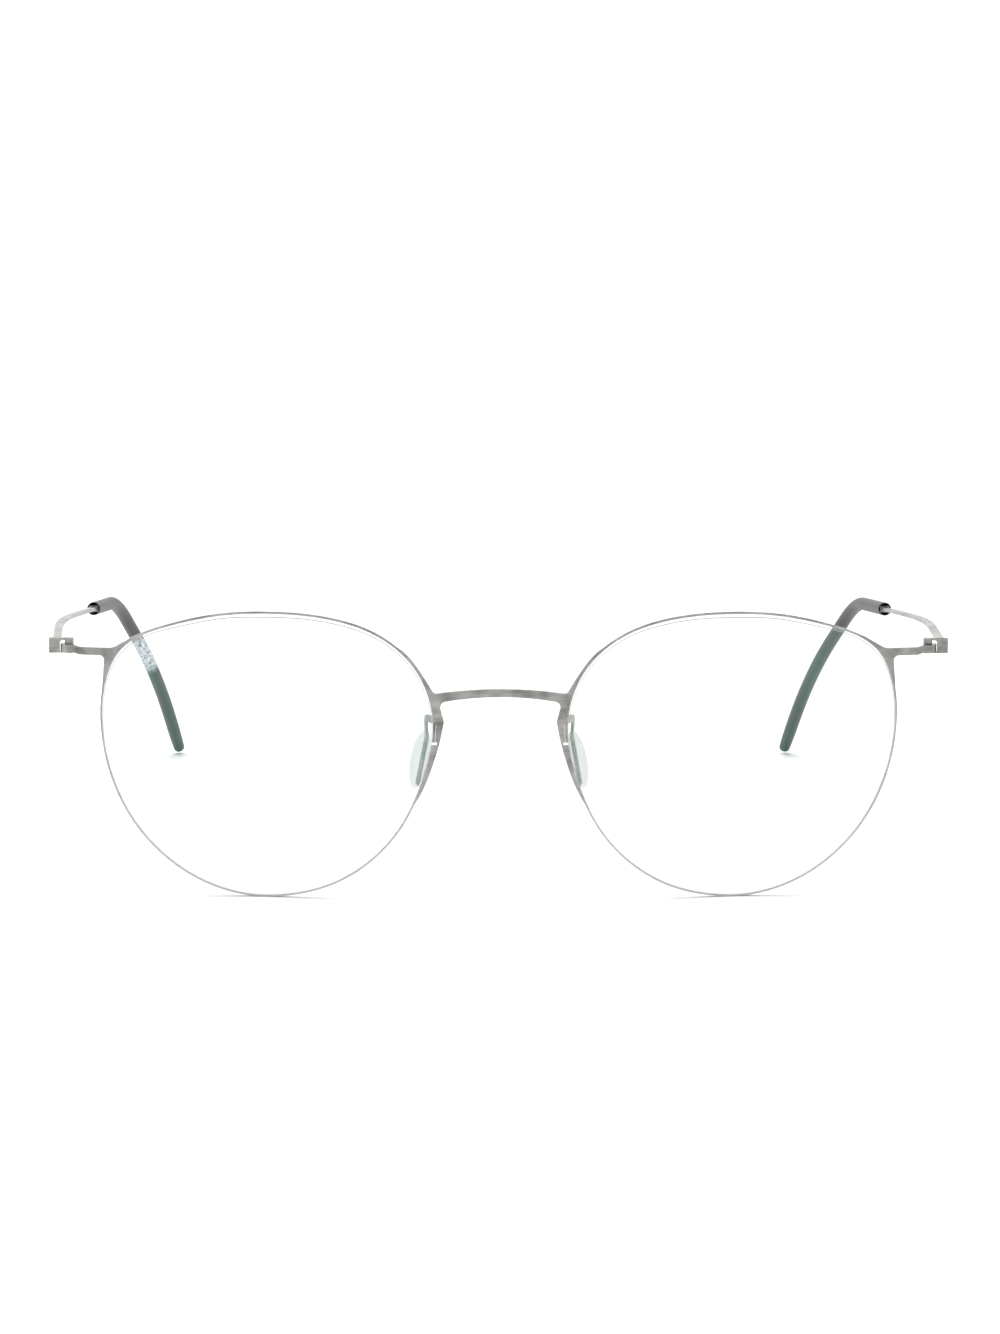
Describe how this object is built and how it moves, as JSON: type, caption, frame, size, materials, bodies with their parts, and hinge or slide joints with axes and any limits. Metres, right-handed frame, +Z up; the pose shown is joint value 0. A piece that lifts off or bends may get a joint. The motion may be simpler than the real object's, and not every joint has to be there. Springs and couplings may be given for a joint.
{
  "type": "round eyeglasses",
  "caption": "Rimmed round eyeglasses cut and bent from thin titanium sheet, with screwless hooked hinges, clear lenses, clear nose pads on thin arms and soft grey temple tips.",
  "frame": {"origin": "middle of the glasses seen from above, on the surface that they stand on", "axes": "+X across the face towards the wearer's left, +Y back from the front towards the ears, +Z up"},
  "size_m": [0.134, 0.1278, 0.043],
  "materials": {
    "titanium": "matt, fine brushed",
    "lens": "polished, anti-reflective coated",
    "clear_silicone": "clear, satin",
    "tip_silicone": "soft matt"
  },
  "bodies": {
    "front": {"front_frame": "titanium", "lens_left": "lens", "lens_right": "lens", "nose_pad_arm_left": "titanium", "nose_pad_arm_right": "titanium", "nose_pad_left": "clear_silicone", "nose_pad_right": "clear_silicone"},
    "temple_left": {"temple_left": "titanium", "temple_tip_left": "tip_silicone"},
    "temple_right": {"temple_right": "titanium", "temple_tip_right": "tip_silicone"}
  },
  "joints": [
    {"name": "fold_left", "type": "hinge", "parent": "front", "child": "temple_left", "pos_m": [0.0635, -0.05557, 0.0368], "axis": [0, 0, 1], "range_deg": [0, 82]},
    {"name": "fold_right", "type": "hinge", "parent": "front", "child": "temple_right", "pos_m": [-0.0635, -0.05557, 0.0368], "axis": [0, 0, -1], "range_deg": [0, 75]}
  ]
}
